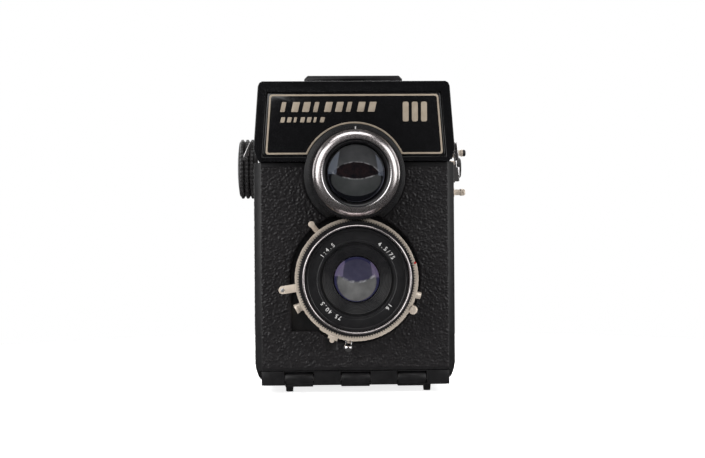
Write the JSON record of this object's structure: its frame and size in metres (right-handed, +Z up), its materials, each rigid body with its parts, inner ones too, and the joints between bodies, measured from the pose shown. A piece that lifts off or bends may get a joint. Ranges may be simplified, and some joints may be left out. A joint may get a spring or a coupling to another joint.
{
  "type": "twin_lens_reflex_camera",
  "caption": "Twin lens reflex roll-film camera: geared focusing lenses, folding hood, reflex mirror, leaf shutter, film advance knob and hinged back",
  "frame": {"origin": "on the standing surface, under the middle of the camera's bounding box", "axes": "+Z up, lenses look along -Y, +X to the right of a viewer who faces the lenses"},
  "size_m": [0.099, 0.102, 0.129],
  "materials": {
    "leather": "pebble-grained black leatherette",
    "gloss_black": "polished black plastic",
    "black_metal": "satin black anodised alloy",
    "black_plastic": "moulded black plastic",
    "chrome": "bright chrome plate",
    "nickel": "satin nickel plate",
    "steel": "plain steel",
    "optical_glass": "coated optical glass",
    "mirror": "front-silvered mirror",
    "red_window": "red window"
  },
  "bodies": {
    "root": {"body_shell": "black_plastic", "front_panel": "leather", "viewfinder_housing": "gloss_black", "name_plate": "gloss_black", "mirror_cradle": "black_metal", "reflex_mirror": "mirror", "focusing_screen": "optical_glass", "viewing_lens_barrel": "black_metal", "viewing_rear_element": "optical_glass", "shutter_case": "black_metal", "taking_middle_element": "optical_glass", "taking_rear_cell": "black_metal", "taking_rear_element": "optical_glass", "flash_sync_socket": "nickel", "cable_release_socket": "nickel", "accessory_shoe": "steel", "upper_bracket_stud": "chrome", "lower_bracket_stud": "chrome", "left_strap_lug": "chrome", "right_strap_lug": "chrome", "door_hinge_pin": "steel"},
    "viewing_focus": {"viewing_focus_ring": "black_metal", "viewing_bezel": "chrome", "viewing_front_cell": "black_metal", "viewing_front_element": "optical_glass"},
    "taking_focus": {"taking_focus_ring": "black_metal", "taking_rim": "chrome"},
    "taking_cell": {"lens_face_ring": "black_metal", "taking_front_element": "optical_glass"},
    "speed_dial": {"speed_ring": "nickel"},
    "release": {"release_lever": "nickel"},
    "aperture": {"aperture_lever": "nickel"},
    "cocking": {"cocking_lever": "chrome"},
    "self_timer": {"self_timer_lever": "nickel"},
    "aperture_leaf_1": {"aperture_blade_1": "steel"},
    "aperture_leaf_2": {"aperture_blade_2": "steel"},
    "aperture_leaf_3": {"aperture_blade_3": "steel"},
    "aperture_leaf_4": {"aperture_blade_4": "steel"},
    "aperture_leaf_5": {"aperture_blade_5": "steel"},
    "shutter_leaf_1": {"shutter_blade_1": "steel"},
    "shutter_leaf_2": {"shutter_blade_2": "steel"},
    "film_advance": {"advance_knob": "black_plastic", "advance_shaft": "steel", "take_up_spool": "black_metal"},
    "pull_knob": {"take_up_pull_knob": "black_plastic"},
    "door": {"back_door": "leather", "pressure_plate": "black_metal", "pressure_spring": "steel", "film_counter_window": "red_window", "tripod_bush": "steel"},
    "window_slide": {"window_shutter": "black_metal"},
    "latch": {"door_latch": "nickel"},
    "lid": {"hood_lid": "black_metal", "lid_cover": "leather"},
    "back_flap": {"hood_back_flap": "black_metal"},
    "left_flap": {"hood_left_flap": "black_metal"},
    "right_flap": {"hood_right_flap": "black_metal"},
    "magnifier": {"magnifier_frame": "black_metal", "magnifier_lens": "optical_glass"}
  },
  "joints": [
    {"name": "taking_focus_turn", "type": "hinge", "parent": "root", "child": "taking_focus", "pos_m": [0, -0.04125, 0.0467], "axis": [0, -1, 0], "range_deg": [0, 216]},
    {"name": "viewing_focus_turn", "type": "hinge", "parent": "root", "child": "viewing_focus", "pos_m": [0, -0.04125, 0.0882], "axis": [0, -1, 0], "range_deg": [-271, 0]},
    {"name": "taking_cell_slide", "type": "slide", "parent": "root", "child": "taking_cell", "axis": [0, -1, 0], "range_m": [0, 0.0019]},
    {"name": "speed_ring_turn", "type": "hinge", "parent": "root", "child": "speed_dial", "pos_m": [0, -0.0387, 0.0467], "axis": [0, -1, 0], "range_deg": [-48, 58]},
    {"name": "release_press", "type": "hinge", "parent": "root", "child": "release", "pos_m": [0, -0.0355, 0.0467], "axis": [0, 1, 0], "range_deg": [0, 12], "stiffness_Nm_per_rad": 0.03, "springref_deg": -5.73},
    {"name": "aperture_turn", "type": "hinge", "parent": "root", "child": "aperture", "pos_m": [0, -0.0355, 0.0467], "axis": [0, -1, 0], "range_deg": [0, 34]},
    {"name": "cocking_turn", "type": "hinge", "parent": "root", "child": "cocking", "pos_m": [0, -0.0327, 0.0467], "axis": [0, -1, 0], "range_deg": [0, 55], "stiffness_Nm_per_rad": 0.02, "springref_deg": -8.59},
    {"name": "self_timer_turn", "type": "hinge", "parent": "root", "child": "self_timer", "pos_m": [0, -0.0299, 0.0467], "axis": [0, 1, 0], "range_deg": [0, 26]},
    {"name": "aperture_leaf_1_turn", "type": "hinge", "parent": "root", "child": "aperture_leaf_1", "pos_m": [0.01474, -0.0307, 0.05149], "axis": [0, -1, 0], "range_deg": [0, 24]},
    {"name": "aperture_leaf_2_turn", "type": "hinge", "parent": "root", "child": "aperture_leaf_2", "pos_m": [0, -0.0307, 0.0622], "axis": [0, -1, 0], "range_deg": [0, 24]},
    {"name": "aperture_leaf_3_turn", "type": "hinge", "parent": "root", "child": "aperture_leaf_3", "pos_m": [-0.01474, -0.0307, 0.05149], "axis": [0, -1, 0], "range_deg": [0, 24]},
    {"name": "aperture_leaf_4_turn", "type": "hinge", "parent": "root", "child": "aperture_leaf_4", "pos_m": [-0.00911, -0.0307, 0.03416], "axis": [0, -1, 0], "range_deg": [0, 24]},
    {"name": "aperture_leaf_5_turn", "type": "hinge", "parent": "root", "child": "aperture_leaf_5", "pos_m": [0.00911, -0.0307, 0.03416], "axis": [0, -1, 0], "range_deg": [0, 24]},
    {"name": "shutter_leaf_1_turn", "type": "hinge", "parent": "root", "child": "shutter_leaf_1", "pos_m": [0.01187, -0.028, 0.05666], "axis": [0, -1, 0], "range_deg": [-36, 0]},
    {"name": "shutter_leaf_2_turn", "type": "hinge", "parent": "root", "child": "shutter_leaf_2", "pos_m": [-0.01187, -0.028, 0.03674], "axis": [0, -1, 0], "range_deg": [-36, 0]},
    {"name": "film_advance_turn", "type": "hinge", "parent": "root", "child": "film_advance", "pos_m": [0, 0.031, 0.0933], "axis": [1, 0, 0], "continuous": true},
    {"name": "pull_knob_slide", "type": "slide", "parent": "root", "child": "pull_knob", "axis": [1, 0, 0], "range_m": [0, 0.004], "stiffness_N_per_m": 300, "springref_m": -0.002},
    {"name": "door_open", "type": "hinge", "parent": "root", "child": "door", "pos_m": [0, -0.0237, 0.006], "axis": [-1, 0, 0], "range_deg": [0, 95]},
    {"name": "window_slide_move", "type": "slide", "parent": "door", "child": "window_slide", "axis": [0, 0, 1], "range_m": [0, 0.011]},
    {"name": "latch_move", "type": "slide", "parent": "door", "child": "latch", "axis": [1, 0, 0], "range_m": [0, 0.004]},
    {"name": "hood_open", "type": "hinge", "parent": "root", "child": "lid", "pos_m": [0, -0.0235, 0.125], "axis": [1, 0, 0], "range_deg": [0, 90]},
    {"name": "back_flap_turn", "type": "hinge", "parent": "root", "child": "back_flap", "pos_m": [0, 0.0335, 0.1198], "axis": [-1, 0, 0], "range_deg": [0, 91]},
    {"name": "left_flap_turn", "type": "hinge", "parent": "root", "child": "left_flap", "pos_m": [-0.028, 0, 0.1182], "axis": [0, -1, 0], "range_deg": [0, 91]},
    {"name": "right_flap_turn", "type": "hinge", "parent": "root", "child": "right_flap", "pos_m": [0.028, 0, 0.1182], "axis": [0, 1, 0], "range_deg": [0, 91]},
    {"name": "magnifier_turn", "type": "hinge", "parent": "lid", "child": "magnifier", "pos_m": [0, 0.022, 0.1222], "axis": [1, 0, 0], "range_deg": [0, 91]}
  ],
  "couplings": [
    {"joint": "viewing_focus_turn", "follows": "taking_focus_turn", "ratio": -1.25},
    {"joint": "taking_cell_slide", "follows": "taking_focus_turn", "m_per_rad": 0.00048},
    {"joint": "aperture_leaf_1_turn", "follows": "aperture_turn", "ratio": 0.7},
    {"joint": "aperture_leaf_2_turn", "follows": "aperture_turn", "ratio": 0.7},
    {"joint": "aperture_leaf_3_turn", "follows": "aperture_turn", "ratio": 0.7},
    {"joint": "aperture_leaf_4_turn", "follows": "aperture_turn", "ratio": 0.7},
    {"joint": "aperture_leaf_5_turn", "follows": "aperture_turn", "ratio": 0.7},
    {"joint": "shutter_leaf_1_turn", "follows": "release_press", "ratio": -2.9},
    {"joint": "shutter_leaf_2_turn", "follows": "release_press", "ratio": -2.9},
    {"joint": "back_flap_turn", "follows": "hood_open", "ratio": 1},
    {"joint": "left_flap_turn", "follows": "hood_open", "ratio": 1},
    {"joint": "right_flap_turn", "follows": "hood_open", "ratio": 1},
    {"joint": "magnifier_turn", "follows": "hood_open", "ratio": 1}
  ]
}
